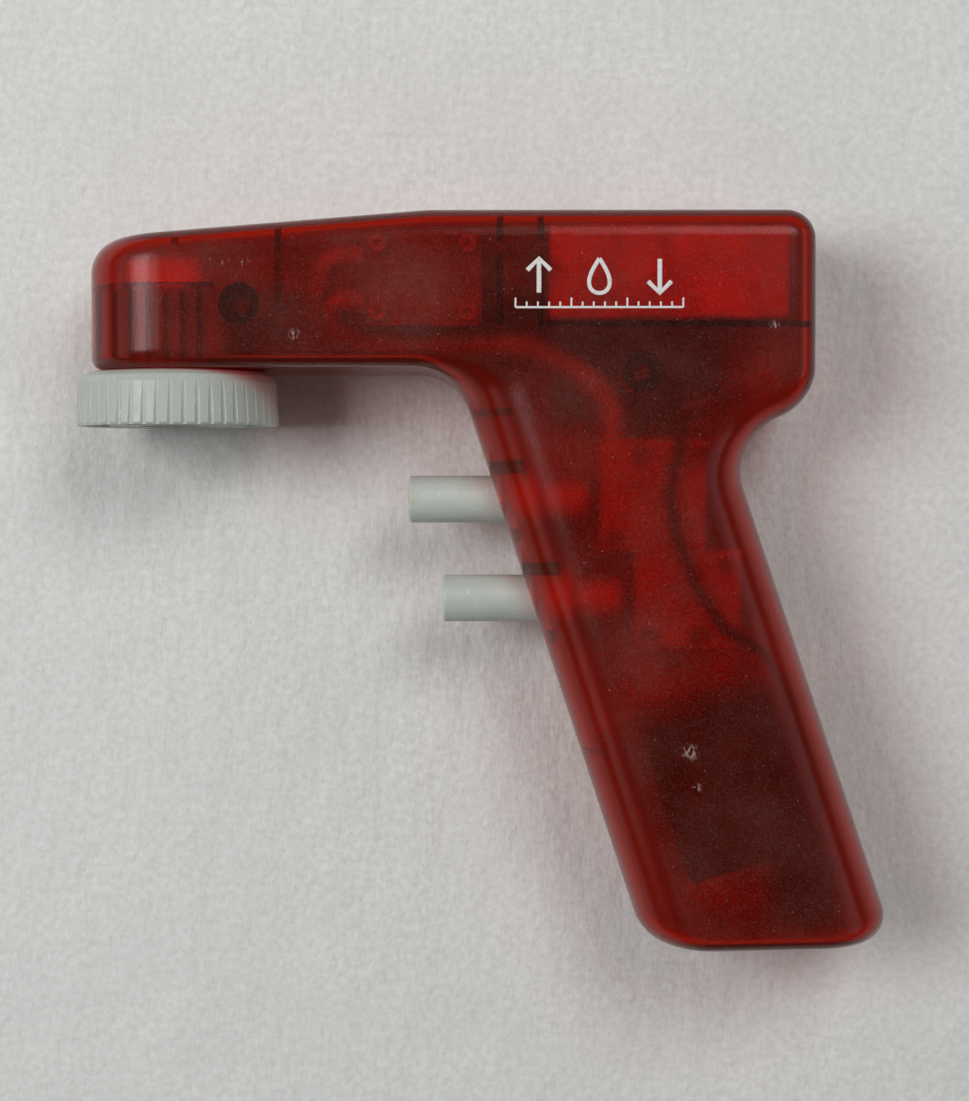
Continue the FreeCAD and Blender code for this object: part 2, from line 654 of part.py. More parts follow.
def board_parts():
    """Controller, driver, coil, capacitor and resistors on the board."""
    parts = [
        box((74.0, 80.0), (-8.6, -4.4), (-10.0, -8.6)),
        box((91.5, 95.5), (-8.8, -5.4), (-10.0, -8.4)),
        cylinder(2.4, (92.5, 2.6, -10.0), 2.4, Z_AXIS),
        cylinder(1.6, (72.0, 3.6, -8.4), 6.0, X_AXIS),
    ]
    parts += [box((x, x + 1.0), (0.6, 2.2), (-10.0, -9.4)) for x in (72.0, 74.2, 76.4, 78.6)]
    return Part.makeCompound(parts)


def board_connector():
    case = box((96.6, 101.4), (-9.2, -5.6), (-10.0, -7.2))
    return case.cut([box((at, at + 1.2), (-8.4, -6.4), (-9.2, -7.0)) for at in (97.4, 99.4)])


def battery_cells():
    cells = []
    for across in (-1, 1):
        for z in (-1, 1):
            x = across * (CELL_R + 0.05)
            height = z * (CELL_R + 0.05)
            can = cylinder(CELL_R, (x, -CELL_LENGTH / 2, height), CELL_LENGTH, Y_AXIS)
            rims = [e for e in can.Edges if len(e.Vertexes) == 1]
            can = can.makeFillet(0.7, rims)
            pip = cylinder(2.0, (x, CELL_LENGTH / 2 - 0.1, height), 0.8, Y_AXIS)
            cells.append(in_grip(can.fuse(pip), BATTERY_CENTRE))
    return Part.makeCompound(cells)


def battery_wrap():
    """Shrink film around the four cells."""
    half = 2 * CELL_R + 0.1
    long = CELL_LENGTH + 0.8
    films = []
    for extra in (0.35, 0.05):
        block = box((-half - extra, half + extra), (-long / 2, long / 2), (-half - extra, half + extra))
        along = [e for e in block.Edges if abs(e.tangentAt(e.FirstParameter).y) > 0.99]
        films.append(block.makeFillet(CELL_R, along))
    return in_grip(films[0].cut(films[1]), BATTERY_CENTRE)


def battery_pad(side):
    """Black foam between the battery and a shell."""
    pad = rounded_plate((-12.4, 12.4), (-15.0, 15.0), (12.6, 16.0), 1.0)
    if side < 0:
        pad = pad.mirror(V(0, 0, 0), Z_AXIS)
    return inside(in_grip(pad, BATTERY_CENTRE))


def charge_jack():
    body = rounded_plate((JACK_X - 5.4, JACK_X + 5.4), (-103.4, -91.0), (-5.2, 5.2), 0.8)
    mouth = cylinder(4.0, (JACK_X, -105.6, 0), 3.0, Y_AXIS)
    bore = cylinder(JACK_BORE, (JACK_X, -106.6, 0), JACK_DEPTH + 1.0, Y_AXIS)
    contact_room = cylinder(2.6, (JACK_X, -95.6, 0), 3.0, Y_AXIS)
    return fuse_all([body, mouth]).cut([bore, contact_room])


def jack_contact():
    return cylinder(2.2, (JACK_X, -95.4, 0), 2.4, Y_AXIS)


def battery_lead():
    return swept([
        (94.6, -58.6, -6.0), (92.5, -54.5, -9.8), (88.0, -44.0, -10.4), (83.2, -30.0, -11.2),
        (84.0, -16.0, -14.0), (86.5, -8.4, -14.4), (86.5, -8.4, -11.6),
    ], 0.7, 3.0)


def motor_lead():
    return swept([
        (95.7, 12.6, 0), (98.6, 12.6, 0), (98.6, 5.5, 0), (98.0, 3.4, -4.0), (98.0, 3.4, -10.0),
    ], 0.7, 3.0)


def charge_lead():
    """The lead from the board over the valve cover and down behind the battery to the jack."""
    return swept([
        (99.0, -7.4, -7.2), (99.0, -7.4, 2.0), (94.0, -9.0, 10.0), (92.8, -15.0, 12.4), (91.0, -23.0, 12.6),
        (92.6, -31.0, 12.4), (96.0, -39.5, 12.4), (101.0, -47.4, 12.4), (108.6, -52.0, 10.4),
        (113.2, -58.6, 7.0), (117.6, -70.0, 4.0), (121.0, -80.0, 3.0), (120.8, -86.6, 2.4),
        (120.8, -90.95, 2.4),
    ], 0.9, 6.0)


NODES = {
    "left_shell": left_shell(),
    "right_shell": right_shell(),
    "housing_screws": housing_screws(),
    "nosepiece_ring": nosepiece_ring(),
    "pipette_holder": pipette_holder(),
    "membrane_filter": membrane_filter(),
    "filter_o_ring": filter_o_ring(),
    "nose_collar": nose_collar(),
    "tube_elbow": tube_elbow(),
    "valve_block": valve_block(),
    "valve_cover": valve_cover(),
    "valve_screws": screw_set(VALVE_SCREWS, COVER_TOP, 6.5),
    "pump_frame": pump_frame(),
    "pump_diaphragm": pump_diaphragm(),
    "pump_valve_plate": pump_valve_plate(),
    "pump_head": pump_head(),
    "pump_screws": screw_set(PUMP_SCREWS, PUMP_LEVELS[-1], 11.0),
    "connecting_rod": connecting_rod(),
    "rod_bearing": rod_bearing(),
    "eccentric": eccentric(),
    "shaft_bush": shaft_bush(),
    "motor_can": motor_can(),
    "motor_magnets": motor_magnets(),
    "motor_shaft": motor_shaft(),
    "motor_armature": motor_armature(),
    "motor_end_cap": motor_end_cap(),
    "motor_cushion": motor_cushion(),
    "nose_tube": nose_tube(),
    "suction_tube": suction_tube(),
    "pressure_tube": pressure_tube(),
    "circuit_board": circuit_board(),
    "board_parts": board_parts(),
    "board_connector": board_connector(),
    "battery_cells": battery_cells(),
    "battery_wrap": battery_wrap(),
    "left_battery_pad": battery_pad(1),
    "right_battery_pad": battery_pad(-1),
    "battery_lead": battery_lead(),
    "motor_lead": motor_lead(),
    "charge_lead": charge_lead(),
    "charge_jack": charge_jack(),
    "jack_contact": jack_contact(),
}
for name in BUTTON_TIPS:
    NODES[name + "_button"] = button(name)
    NODES[name + "_needle"] = needle(name)
    NODES[name + "_spring"] = return_spring(name)
    NODES[name + "_gland"] = gland(name)
    NODES[name + "_switch"] = micro_switch(name)
    NODES[name + "_switch_pin"] = switch_pin(name)

# ---------------------------------------------------------------- export
outside = Part.makeCompound([NODES["left_shell"], NODES["right_shell"], NODES["nosepiece_ring"]])
limits = outside.optimalBoundingBox(False, False)
TO_ORIGIN = V(-(limits.XMin + limits.XMax) / 2, -(limits.YMin + limits.YMax) / 2, HALF)

os.makedirs("parts", exist_ok=True)
for name, shape in NODES.items():
    placed = shape.copy()
    placed.translate(TO_ORIGIN)
    placed.exportStep(os.path.join("parts", name + ".step"))
print("origin shift", TO_ORIGIN, "nodes", len(NODES))
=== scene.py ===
import json
import math

import bmesh
import bpy
from mathutils import Matrix, Vector, noise


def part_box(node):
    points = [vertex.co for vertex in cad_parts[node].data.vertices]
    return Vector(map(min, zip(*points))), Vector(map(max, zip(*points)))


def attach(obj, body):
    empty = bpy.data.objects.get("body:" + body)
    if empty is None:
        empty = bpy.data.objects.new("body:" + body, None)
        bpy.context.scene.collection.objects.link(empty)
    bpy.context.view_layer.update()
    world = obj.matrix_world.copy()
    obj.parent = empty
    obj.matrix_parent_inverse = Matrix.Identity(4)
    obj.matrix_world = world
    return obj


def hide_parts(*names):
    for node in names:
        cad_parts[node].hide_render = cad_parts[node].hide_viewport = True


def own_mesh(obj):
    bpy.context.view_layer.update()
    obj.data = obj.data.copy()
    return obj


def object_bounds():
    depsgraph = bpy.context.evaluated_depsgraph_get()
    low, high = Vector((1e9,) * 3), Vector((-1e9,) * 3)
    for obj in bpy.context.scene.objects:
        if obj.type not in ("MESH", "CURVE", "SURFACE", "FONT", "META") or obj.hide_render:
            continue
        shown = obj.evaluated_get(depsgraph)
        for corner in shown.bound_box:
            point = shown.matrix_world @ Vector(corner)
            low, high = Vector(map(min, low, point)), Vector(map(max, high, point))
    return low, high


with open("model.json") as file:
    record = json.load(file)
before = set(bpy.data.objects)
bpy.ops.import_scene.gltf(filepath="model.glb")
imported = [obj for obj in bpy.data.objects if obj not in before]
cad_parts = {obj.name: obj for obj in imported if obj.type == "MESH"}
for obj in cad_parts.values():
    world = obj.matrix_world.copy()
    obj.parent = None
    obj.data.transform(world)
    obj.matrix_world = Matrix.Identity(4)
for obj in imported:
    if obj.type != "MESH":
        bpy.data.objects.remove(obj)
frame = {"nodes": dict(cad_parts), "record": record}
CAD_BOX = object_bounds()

# The tool lies on its right side. +X runs to the rear of the arm, +Y away from the grip's foot, +Z up
# through the left side. Lengths below are in millimetres, and MM turns them into Blender's metres.
MM = 0.001

CAMERA_PLACE = (1.46, 18.43, 433.13)
CAMERA_AIM = (1.19, 5.37, 19.0)
CAMERA_ROLL = 0.00102
CAMERA_LENS = 81.83
SENSOR_WIDTH = 36.0

NODES = frame["nodes"]
SLOT_OF = {part["node"]: part["material_slot"] for part in frame["record"]["subparts"]}
LOW, HIGH = CAD_BOX
MIDDLE_Z = (LOW.z + HIGH.z) / 2
HALF_THICKNESS = (HIGH.z - LOW.z) / 2

# Marks on the left side, in millimetres. Each place is its X and Y, and each reach is a radius.
SCUFFS = [((38.2, -30.4), 1.9), ((39.4, -36.9), 1.2), ((-32.8, 44.8), 1.3), ((53.2, 46.3), 1.1)]
# Patches rubbed dull by the hand, in the same way.
RUBBED = [((-13.0, 51.0), 17), ((22.0, 30.0), 20), ((30.0, -12.0), 15)]
# Small round pips left by the mould, near the nose and the foot.
MOULD_PIPS = [(-45.0, 57.5), (-41.5, 57.5), (48.0, -59.0), (51.5, -59.0), (55.0, -59.0)]
PIP_RADIUS = 0.5
PIP_FOOT_RADIUS = 0.8
PIP_HEIGHT = 0.06

# The depths under a flat side between which the shell's outer skin turns into its inner side.
SKIN_DEPTH = 1.0
INNER_DEPTH = 1.6

# Roughness of the roundings, of the grain on the flat sides, and of the inner side.
GLOSSY_WALL = 0.17
GRAINED_FLAT = 0.34
FROSTED_INSIDE = 0.35

# The plain mark on the arm: heights and places along it, and widths of its lines.
MARK_Y = 55.1
DROP_X = 21.8
DROP_WIDTH = 2.5
DROP_HEIGHT = 3.1
DROP_LINE = 0.75
UP_ARROW_X = 11.0
DOWN_ARROW_X = 32.6
ARROW_SHAFT = 3.0
ARROW_REACH = 3.1
ARROW_HEAD = 2.1
ARROW_LINE = 0.85
SCALE_Y = 49.5
SCALE_START = 6.8
SCALE_STEP = 2
SCALE_MARKS = 16
LONG_TICK = 1.7
SHORT_TICK = 1.0
SCALE_LINE = 0.4
TICK_LINE = 0.35
INK_THICKNESS = 0.06

# The return springs: the wire's radius, and the points on each turn of its line.
SPRING_WIRE = 0.25
SPRING_TURNS = 6
SPRING_STEPS = 28

# The foam's skin: the sizes of its lumps and of its crumbs, and how often its edges are smoothed.
FOAM_LUMP = 3.5
FOAM_CRUMB = 1.3
FOAM_SMOOTHING = 4

FLOOR_REACH = 3000
FLOOR_GAP = 0.05

# Soft boxes as name, place, width and height, all in millimetres, and watts. All look at LAMP_AIM.
LAMP_AIM = (0, 0, 20)
LAMPS = [
    ("left_key", (-610, 160, 860), 420, 420, 5.4),
    ("right_key", (320, 500, 900), 420, 420, 3.6),
    ("left_strip", (-950, 0, 420), 1200, 300, 1.1),
    ("right_strip", (950, 0, 420), 1200, 300, 1.2),
]


# ---------------------------------------------------------------- node trees

class Tree:
    """A material's node tree, with short calls for the nodes that the finishes share."""

    def __init__(self, name):
        self.material = bpy.data.materials.new(name)
        self.material.use_nodes = True
        self.tree = self.material.node_tree
        self.tree.nodes.clear()
        self.output = self.tree.nodes.new("ShaderNodeOutputMaterial")
        self.place = self.add("TexCoord").outputs["Object"]

    def add(self, kind, inputs=None, **settings):
        """A node of that kind. An input is a plain value or another node's output."""
        node = self.tree.nodes.new("ShaderNode" + kind)
        for name, value in settings.items():
            setattr(node, name, value)
        for name, value in (inputs or {}).items():
            if isinstance(value, bpy.types.NodeSocket):
                self.tree.links.new(value, node.inputs[name])
            else:
                node.inputs[name].default_value = value
        return node

    def stretched(self, stretch):
        """Object coordinates, longer along an axis whose stretch is above 1."""
        scale = [1 / s for s in stretch]
        return self.add("Mapping", {"Vector": self.place, "Scale": scale}).outputs[0]

    def noise(self, size, detail=2.0, roughness=0.5, stretch=None):
        """Grey noise whose blobs are about size millimetres across."""
        place = self.stretched(stretch) if stretch else self.place
        inputs = {"Vector": place, "Scale": 1 / (size * MM), "Detail": detail, "Roughness": roughness}
        return self.add("TexNoise", inputs).outputs[0]

    def cells(self, size):
        """Distance from the middles of cells about size millimetres across."""
        inputs = {"Vector": self.place, "Scale": 1 / (size * MM)}
        return self.add("TexVoronoi", inputs).outputs["Distance"]

    def span(self, value, low, high, to_low=0.0, to_high=1.0):
        """value from low to high becomes to_low to to_high, held at the ends."""
        inputs = {"Value": value, "From Min": low, "From Max": high, "To Min": to_low, "To Max": to_high}
        return self.add("MapRange", inputs).outputs[0]

    def maths(self, operation, a, b=0.0):
        return self.add("Math", {0: a, 1: b}, operation=operation).outputs[0]

    def product(self, a, b):
        return self.maths("MULTIPLY", a, b)

    def blend(self, factor, a, b):
        """Colour a where factor is 0 and b where it is 1."""
        node = self.add("Mix", data_type="RGBA")
        for index, value in ((0, factor), (6, a), (7, b)):
            if isinstance(value, bpy.types.NodeSocket):
                self.tree.links.new(value, node.inputs[index])
            else:
                node.inputs[index].default_value = value if index == 0 else (*value, 1)
        return node.outputs[2]

    def blend_values(self, factor, a, b):
        """Value a where factor is 0 and b where it is 1."""
        return self.add("Mix", {0: factor, 2: a, 3: b}, data_type="FLOAT").outputs[0]

    def coordinate(self, axis):
        """The place along X, Y or Z, in metres."""
        return self.add("SeparateXYZ", {0: self.place}).outputs[axis]

    def facing(self, axis):
        """How far the surface faces along X, Y or Z, either way."""
        normal = self.add("TexCoord").outputs["Normal"]
        return self.maths("ABSOLUTE", self.add("SeparateXYZ", {0: normal}).outputs[axis])

    def near(self, centre, inner, outer):
        """1 within inner millimetres of a point given in metres, falling to 0 at outer."""
        inputs = {0: self.place, 1: tuple(centre)}
        distance = self.add("VectorMath", inputs, operation="DISTANCE").outputs["Value"]
        return self.span(distance, outer * MM, inner * MM)

    def near_mark(self, spot, inner, outer):
        """The same for a spot on the left side, given as X and Y in millimetres."""
        return self.near((spot[0] * MM, spot[1] * MM, HIGH.z), inner, outer)

    def bump(self, height, depth, under=None):
        """A normal from a height of 0 to 1 that stands for depth millimetres."""
        inputs = {"Height": height, "Distance": depth * MM, "Strength": 1.0}
        if under is not None:
            inputs["Normal"] = under
        return self.add("Bump", inputs).outputs[0]

    def principled(self, **inputs):
        named = {name.replace("_", " "): value for name, value in inputs.items()}
        return self.add("BsdfPrincipled", named)

    def finish(self, shader, volume=None):
        self.tree.links.new(shader.outputs[0], self.output.inputs["Surface"])
        if volume is not None:
            self.tree.links.new(volume.outputs[0], self.output.inputs["Volume"])
        return self.material


def rgb(red, green, blue):
    """A linear colour."""
    return (red, green, blue)


def darker(colour, share):
    return tuple(part * share for part in colour)


# ---------------------------------------------------------------- finishes

def shell_marks(t, flat, cloud):
    """How hazy and how dusty the flat sides are, each from 0 to 1. The haze is partly wear from use and
    partly a painted grey reflection veil, which its floor lays over all the flat sides.
    """
    # Painted reflection veil: worn never falls below 0.18, so a faint grey veil is painted over every flat
    # side.
    worn = t.span(cloud, 0.40, 0.72, 0.18, 0.8)
    for spot, reach in RUBBED:
        patch = t.product(t.near_mark(spot, 0.3 * reach, reach), t.span(cloud, 0.25, 0.6, 0.3, 1.0))
        worn = t.maths("MAXIMUM", worn, patch)
    mottle = t.span(t.noise(1.1, 3.0, 0.6), 0.2, 0.8, 0.6, 1.0)
    haze_and_painted_veil = t.product(t.product(flat, worn), mottle)
    dust = t.product(flat, t.span(t.noise(0.5, 1.0), 0.745, 0.79))
    smear = t.span(t.noise(0.8, 1.0, 0.5, (0.6, 1.2, 1)), 0.50, 0.58)
    for spot, reach in SCUFFS:
        scuff = t.product(smear, t.near_mark(spot, 0.35 * reach, reach))
        dust = t.maths("MAXIMUM", dust, scuff)
    return haze_and_painted_veil, dust


def shell_clearness(t, level, height, haze_and_painted_veil, dust, painted_glint):
    """How much light passes straight through: less in haze and its painted veil, in the painted glints on
    the grain and in dust, and in the half below.
    """
    clear = t.blend_values(level, 0.90, 0.985)
    clear = t.maths("SUBTRACT", clear, t.product(haze_and_painted_veil, 0.14))
    clear = t.maths("SUBTRACT", clear, t.product(painted_glint, 0.055))
    clear = t.product(clear, t.blend_values(dust, 1.0, 0.62))
    up = t.coordinate("Z")
    inner_side = t.span(height, HALF_THICKNESS - SKIN_DEPTH * MM, HALF_THICKNESS - INNER_DEPTH * MM)
    far_inside = t.product(t.span(up, 3.0 * MM, 2.4 * MM), inner_side)
    clear = t.product(clear, t.blend_values(far_inside, 1.0, 0.22))
    far_edge = t.product(t.span(up, 13 * MM, 6 * MM), t.blend_values(level, 1.0, 0.0))
    return t.product(clear, t.blend_values(far_edge, 1.0, 0.40))


def shell_colour(t, flat, cloud, haze_and_painted_veil, dust, painted_glint):
    """Red, sooty in patches, paler where it is hazy from wear or dusty, with a painted grey veil and
    painted glints on the grain of the flat sides.
    """
    colour = t.blend(t.span(cloud, 0.3, 0.7), rgb(0.66, 0.052, 0.006), rgb(0.58, 0.042, 0.005))
    soot = t.product(flat, t.span(t.noise(6.5, 4.0, 0.65), 0.50, 0.70, 0.0, 0.45))
    colour = t.blend(soot, colour, rgb(0.26, 0.020, 0.010))
    # Hazy places are blended towards grey, partly for wear and partly as a painted reflection veil.
    colour = t.blend(t.product(haze_and_painted_veil, 0.6), colour, rgb(0.44, 0.26, 0.23))
    # Painted glints: specks on the grain are blended towards grey.
    colour = t.blend(t.product(painted_glint, 0.8), colour, rgb(0.50, 0.36, 0.32))
    return t.blend(dust, colour, rgb(0.60, 0.48, 0.44))


def shell_normal(t, flat, grain):
    """Spark grain on the flat sides, long fine scratches, and the mould's pips."""
    normal = t.bump(t.product(grain, flat), 0.034)
    scratch = t.noise(0.5, 2.0, 0.5, stretch=(16, 3, 3))
    normal = t.bump(t.span(scratch, 0.62, 0.75), 0.004, normal)
    for spot in MOULD_PIPS:
        normal = t.bump(t.near_mark(spot, PIP_RADIUS, PIP_FOOT_RADIUS), PIP_HEIGHT, normal)
    return normal


def shell_finish():
    """Red translucent plastic: glossy on the roundings, spark-grained on its flat sides with painted glints
    and a painted grey veil, frosted inside.
    """
    t = Tree("shell")
    height = t.maths("ABSOLUTE", t.maths("SUBTRACT", t.coordinate("Z"), MIDDLE_Z))
    level = t.span(t.facing("Z"), 0.80, 0.95)
    outer_skin = t.span(height, HALF_THICKNESS - INNER_DEPTH * MM, HALF_THICKNESS - SKIN_DEPTH * MM)
    flat = t.product(level, outer_skin)
    cloud = t.noise(17, 3.0, 0.55)
    grain = t.noise(0.24, 2.0, 0.6)
    # Painted glints: on the flat sides the grain's specks are painted grey and let less light through,
    # standing for light glinting off the grain.
    painted_glint = t.product(flat, t.span(t.noise(0.27, 1.0), 0.50, 0.76))
    haze_and_painted_veil, dust = shell_marks(t, flat, cloud)
    grained = t.blend_values(t.product(t.span(grain, 0.45, 0.8), flat), GLOSSY_WALL, GRAINED_FLAT)
    roughness = t.blend_values(level, GLOSSY_WALL, t.blend_values(flat, FROSTED_INSIDE, grained))
    plastic = t.principled(
        Base_Color=shell_colour(t, flat, cloud, haze_and_painted_veil, dust, painted_glint),
        Roughness=roughness,
        IOR=1.5,
        Transmission_Weight=shell_clearness(t, level, height, haze_and_painted_veil, dust, painted_glint),
        Normal=shell_normal(t, flat, grain),
        Specular_Tint=(0.38, 0.35, 0.35, 1))
    # Lamps reach the inside through the near wall, and the floor through both, in a deeper red.
    path = t.add("LightPath").outputs
    beyond = t.maths("GREATER_THAN", path["Transparent Depth"], 1.5)
    let_in = t.blend(beyond, rgb(0.88, 0.29, 0.15), rgb(0.24, 0.10, 0.08))
    through = t.add("BsdfTransparent", {"Color": let_in})
    mixed = t.add("MixShader", {0: path["Is Shadow Ray"], 1: plastic.outputs[0], 2: through.outputs[0]})
    dye = t.add("VolumeAbsorption", {"Color": (0.90, 0.36, 0.12, 1), "Density": 700.0})
    return t.finish(mixed, dye)


def moulded(name, colour, shade, roughness, grain=0.3, depth=0.012):
    """Moulded plastic or rubber: a little uneven in colour and shine, with a fine grain."""
    t = Tree(name)
    tint = t.blend(t.span(t.noise(9, 3.0), 0.35, 0.7), colour, shade)
    specks = t.span(t.noise(0.5, 2.0), 0.68, 0.8, 0.0, 0.35)
    tint = t.blend(specks, tint, darker(shade, 0.6))
    rough = t.span(t.noise(3, 3.0), 0.3, 0.7, roughness - 0.07, roughness + 0.07)
    normal = t.bump(t.noise(grain, 2.0), depth)
    return t.finish(t.principled(Base_Color=tint, Roughness=rough, Normal=normal))


def metal(name, colour, shade, roughness, stretch=(12, 1, 1)):
    """Bare or plated metal, with fine streaks along its working direction."""
    t = Tree(name)
    lines = t.noise(0.15, 3.0, 0.6, stretch)
    tint = t.blend(t.span(t.noise(4, 3.0), 0.35, 0.7), colour, shade)
    rough = t.span(lines, 0.3, 0.7, roughness - 0.08, roughness + 0.12)
    normal = t.bump(lines, 0.004)
    return t.finish(t.principled(Base_Color=tint, Metallic=1.0, Roughness=rough, Normal=normal))


def foam(name, colour, shade, pore):
    """Foam rubber: pores of about pore millimetres with painted shade at their bottoms, and softly uneven.
    """
    t = Tree(name)
    pores = t.cells(pore)
    uneven = t.blend(t.span(t.noise(5.5, 3.0, 0.6), 0.34, 0.66), colour, darker(colour, 0.62))
    # Painted shade: the shade colour fills the pores' bottoms.
    tint = t.blend(t.span(pores, 0.2, 0.7), shade, uneven)
    normal = t.bump(t.span(pores, 0.0, 0.6), 0.12)
    return t.finish(t.principled(Base_Color=tint, Roughness=0.95, Normal=normal))


def ink():
    """White printing ink, thin and a little worn."""
    t = Tree("ink")
    worn = t.span(t.noise(0.5, 3.0, 0.6), 0.55, 0.75, 0.0, 0.6)
    tint = t.blend(worn, rgb(0.74, 0.73, 0.71), rgb(0.42, 0.16, 0.13))
    rough = t.span(t.noise(2, 2.0), 0.3, 0.7, 0.45, 0.6)
    normal = t.bump(t.noise(0.3, 2.0), 0.01)
    return t.finish(t.principled(Base_Color=tint, Roughness=rough, Normal=normal))


def grey_plastic():
    """The pale grey-green plastic of the ring and buttons, with handling marks."""
    t = Tree("grey_plastic")
    cloud = t.span(t.noise(7, 3.0), 0.35, 0.7)
    tint = t.blend(cloud, rgb(0.54, 0.59, 0.545), rgb(0.48, 0.53, 0.485))
    specks = t.span(t.noise(0.45, 2.0, 0.6), 0.70, 0.78, 0.0, 0.45)
    tint = t.blend(specks, tint, rgb(0.22, 0.23, 0.19))
    rubbed = t.span(t.noise(1.3, 3.0, 0.6), 0.40, 0.62, 0.15, 0.75)
    # Darker towards the nose end, where the ring is, so the ring comes out darker than the buttons.
    darker_towards_nose = t.span(t.coordinate("X"), -30 * MM, -20 * MM, 0.8, 0.0)
    tint = t.blend(darker_towards_nose, tint, rgb(0.42, 0.46, 0.42))
    low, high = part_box("aspirate_button")
    top = Vector(((low.x * 2 + high.x) / 3, high.y - 3.2 * MM, high.z))
    end = Vector((low.x, (low.y + high.y) / 2, high.z - 2.5 * MM))
    for place, reach in ((top, 3.2), (end, 3.0)):
        smudge = t.product(rubbed, t.near(place, 0.2 * reach, reach))
        tint = t.blend(smudge, tint, rgb(0.40, 0.42, 0.22))
    nick = t.span(t.noise(0.6, 2.0, 0.5, (1, 6, 1)), 0.66, 0.74)
    tint = t.blend(t.product(nick, 0.5), tint, rgb(0.80, 0.83, 0.80))
    rough = t.span(t.noise(2.2, 3.0), 0.3, 0.7, 0.36, 0.52)
    normal = t.bump(t.noise(0.35, 2.0), 0.012)
    normal = t.bump(nick, 0.012, normal)
    return t.finish(t.principled(Base_Color=tint, Roughness=rough, Normal=normal, Subsurface_Weight=0.12,
                                 Subsurface_Radius=(1.0, 1.0, 0.9), Subsurface_Scale=0.8 * MM))


def circuit_board():
    """Green solder resist over copper, with paler tracks."""
    t = Tree("board")
    tracks = t.add("TexBrick", {"Vector": t.place, "Scale": 90.0, "Mortar Size": 0.03,
                                "Color1": (0.02, 0.10, 0.05, 1), "Color2": (0.03, 0.13, 0.06, 1),
                                "Mortar": (0.06, 0.22, 0.10, 1)})
    normal = t.bump(tracks.outputs["Fac"], 0.03)
    rough = t.span(t.noise(2, 3.0), 0.3, 0.7, 0.25, 0.4)
    return t.finish(t.principled(Base_Color=tracks.outputs["Color"], Roughness=rough, Normal=normal))


# Colour, shade and roughness, and the stretch of the streaks where it isn't along X.
METALS = {
    "screw_steel": (rgb(0.50, 0.50, 0.49), rgb(0.40, 0.40, 0.40), 0.3),
    "bright_steel": (rgb(0.66, 0.66, 0.66), rgb(0.56, 0.56, 0.57), 0.2),
    "spring_steel": (rgb(0.48, 0.48, 0.49), rgb(0.38, 0.38, 0.39), 0.28),
    "motor_steel": (rgb(0.52, 0.52, 0.52), rgb(0.45, 0.45, 0.45), 0.33),
    "brass": (rgb(0.68, 0.50, 0.22), rgb(0.56, 0.40, 0.17), 0.26, (1, 8, 8)),
}
# Colour, shade and roughness, and the grain's size and depth where they aren't the usual ones.
MOULDINGS = {
    "magnet": (rgb(0.075, 0.075, 0.08), rgb(0.05, 0.05, 0.055), 0.6, 0.2, 0.03),
    "silicone": (rgb(0.55, 0.56, 0.54), rgb(0.48, 0.49, 0.47), 0.55, 0.4, 0.02),
    "black_rubber": (rgb(0.028, 0.028, 0.03), rgb(0.045, 0.044, 0.043), 0.6),
    "white_plastic": (rgb(0.74, 0.73, 0.70), rgb(0.66, 0.65, 0.61), 0.42),
    "valve_plastic": (rgb(0.36, 0.36, 0.35), rgb(0.29, 0.29, 0.28), 0.45),
    "pump_plastic": (rgb(0.16, 0.16, 0.16), rgb(0.11, 0.11, 0.11), 0.5),
    "black_plastic": (rgb(0.03, 0.03, 0.032), rgb(0.02, 0.02, 0.022), 0.42),
    "hose": (rgb(0.30, 0.28, 0.26), rgb(0.24, 0.22, 0.20), 0.4, 0.6, 0.01),
    "wire": (rgb(0.03, 0.03, 0.034), rgb(0.045, 0.045, 0.048), 0.42, 0.5, 0.008),
    "cell": (rgb(0.09, 0.28, 0.14), rgb(0.07, 0.22, 0.11), 0.35, 1.0, 0.006),
    "film": (rgb(0.03, 0.03, 0.035), rgb(0.045, 0.045, 0.05), 0.25, 2.5, 0.05),
}
# Colour, the painted shade at the pores' bottoms, and the pores' size.
FOAMS = {
    "light_foam": (rgb(0.64, 0.64, 0.58), rgb(0.48, 0.47, 0.42), 0.6),
    "black_foam": (rgb(0.040, 0.040, 0.042), rgb(0.012, 0.012, 0.013), 0.5),
}
MATERIALS = {"shell": shell_finish(), "grey_plastic": grey_plastic(), "board": circuit_board()}
for make, looks in ((metal, METALS), (moulded, MOULDINGS), (foam, FOAMS)):
    for slot, look in looks.items():
        MATERIALS[slot] = make(slot, *look)

for node_name, slot_name in SLOT_OF.items():
    mesh = NODES[node_name].data
    mesh.materials.clear()
    mesh.materials.append(MATERIALS[slot_name])


# ---------------------------------------------------------------- pieces

def piece(name, mesh, body, slot):
    """A new piece of the visual model, on its body and with its slot's finish."""
    made = bpy.data.objects.new(name, mesh)
    bpy.context.scene.collection.objects.link(made)
    if slot:
        mesh.materials.append(MATERIALS[slot])
    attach(made, body)
    return made


def smooth(mesh):
    """Shade every face of the mesh smooth."""
    for face in mesh.polygons:
        face.use_smooth = True


def tube_mesh(name, points, radius):
    """A closed round tube along points, with flat ends."""
    curve = bpy.data.curves.new(name, "CURVE")
    curve.dimensions = "3D"
    curve.bevel_depth = radius
    curve.bevel_resolution = 3
    curve.use_fill_caps = True
    line = curve.splines.new("POLY")
    line.points.add(len(points) - 1)
    for point, target in zip(line.points, points):
        point.co = (*target, 1)
    holder = bpy.data.objects.new(name + "_line", curve)
    mesh = bpy.data.meshes.new_from_object(holder)
    bpy.data.objects.remove(holder)
    bpy.data.curves.remove(curve)
    smooth(mesh)
    return mesh


